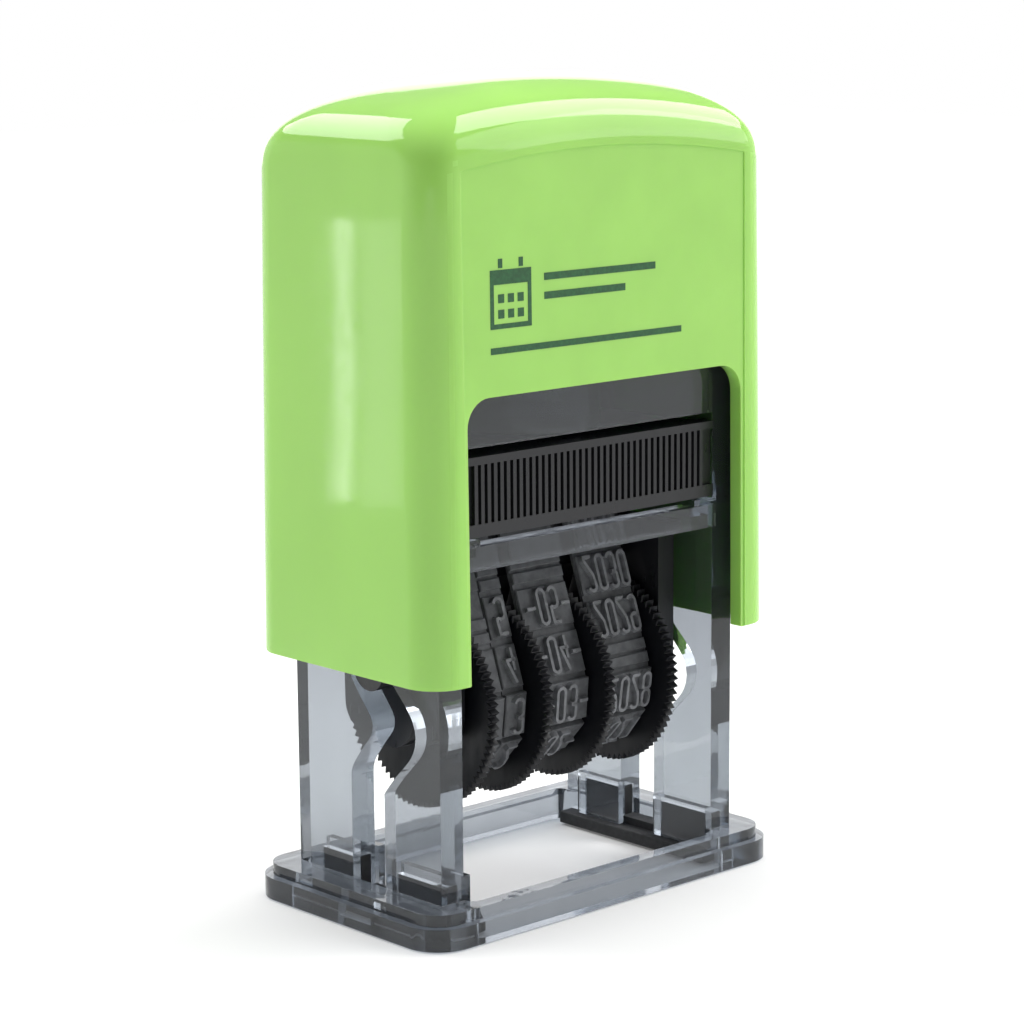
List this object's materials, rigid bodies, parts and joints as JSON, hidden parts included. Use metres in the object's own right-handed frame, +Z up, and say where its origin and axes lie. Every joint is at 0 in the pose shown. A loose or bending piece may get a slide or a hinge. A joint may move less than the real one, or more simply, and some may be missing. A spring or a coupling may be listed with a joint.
{
  "type": "rotary date stamp",
  "caption": "Self-inking band date stamp: domed cover over a clear frame, flipping carriage with toothed date wheels and rubber bands, and a slide-out ink tray.",
  "frame": {"origin": "centre of the base underside", "axes": "+Z up, -Y is the front with the ink tray, +X is the stamp's width"},
  "size_m": [0.0346, 0.0208, 0.0593],
  "materials": {
    "cover_green": "gloss",
    "smoke_clear": "clear, grey tint",
    "black_plastic": "satin",
    "wheel_black": "satin",
    "band_rubber": "matt",
    "foot_rubber": "matt",
    "ink_felt": "ink-soaked felt",
    "steel": "bright wire"
  },
  "bodies": {
    "frame": {"frame": "smoke_clear", "left_foot_insert": "foot_rubber", "right_foot_insert": "foot_rubber", "return_spring": "steel"},
    "cover": {"cover_shell": "cover_green", "carrier_yoke": "black_plastic"},
    "carriage": {"carriage_left_plate": "black_plastic", "carriage_right_plate": "black_plastic", "type_platen": "black_plastic", "wheel_axle": "steel", "tens_band": "band_rubber", "units_band": "band_rubber", "month_band": "band_rubber", "year_band": "band_rubber"},
    "ink_tray": {"ink_tray": "black_plastic", "ink_felt": "ink_felt"},
    "tens_wheel": {"tens_wheel": "wheel_black"},
    "units_wheel": {"units_wheel": "wheel_black"},
    "month_wheel": {"month_wheel": "wheel_black"},
    "year_wheel": {"year_wheel": "wheel_black"}
  },
  "joints": [
    {"name": "cover_press", "type": "slide", "parent": "frame", "child": "cover", "axis": [0, 0, -1], "range_m": [0, 0.015], "stiffness_N_per_m": 150, "springref_m": -0.006, "deforming": ["return_spring"]},
    {"name": "carriage_flip", "type": "hinge", "parent": "cover", "child": "carriage", "pos_m": [0, 0, 0.0215], "axis": [-1, 0, 0], "range_deg": [0, 180]},
    {"name": "tray_slide", "type": "slide", "parent": "frame", "child": "ink_tray", "axis": [0, 1, 0], "range_m": [-0.014, 0]},
    {"name": "tens_turn", "type": "hinge", "parent": "carriage", "child": "tens_wheel", "pos_m": [0, 0, 0.0146], "axis": [1, 0, 0], "continuous": true},
    {"name": "units_turn", "type": "hinge", "parent": "carriage", "child": "units_wheel", "pos_m": [0, 0, 0.0146], "axis": [1, 0, 0], "continuous": true},
    {"name": "month_turn", "type": "hinge", "parent": "carriage", "child": "month_wheel", "pos_m": [0, 0, 0.0146], "axis": [1, 0, 0], "continuous": true},
    {"name": "year_turn", "type": "hinge", "parent": "carriage", "child": "year_wheel", "pos_m": [0, 0, 0.0146], "axis": [1, 0, 0], "continuous": true}
  ],
  "couplings": [
    {"joint": "carriage_flip", "follows": "cover_press", "rad_per_m": 209.44}
  ]
}
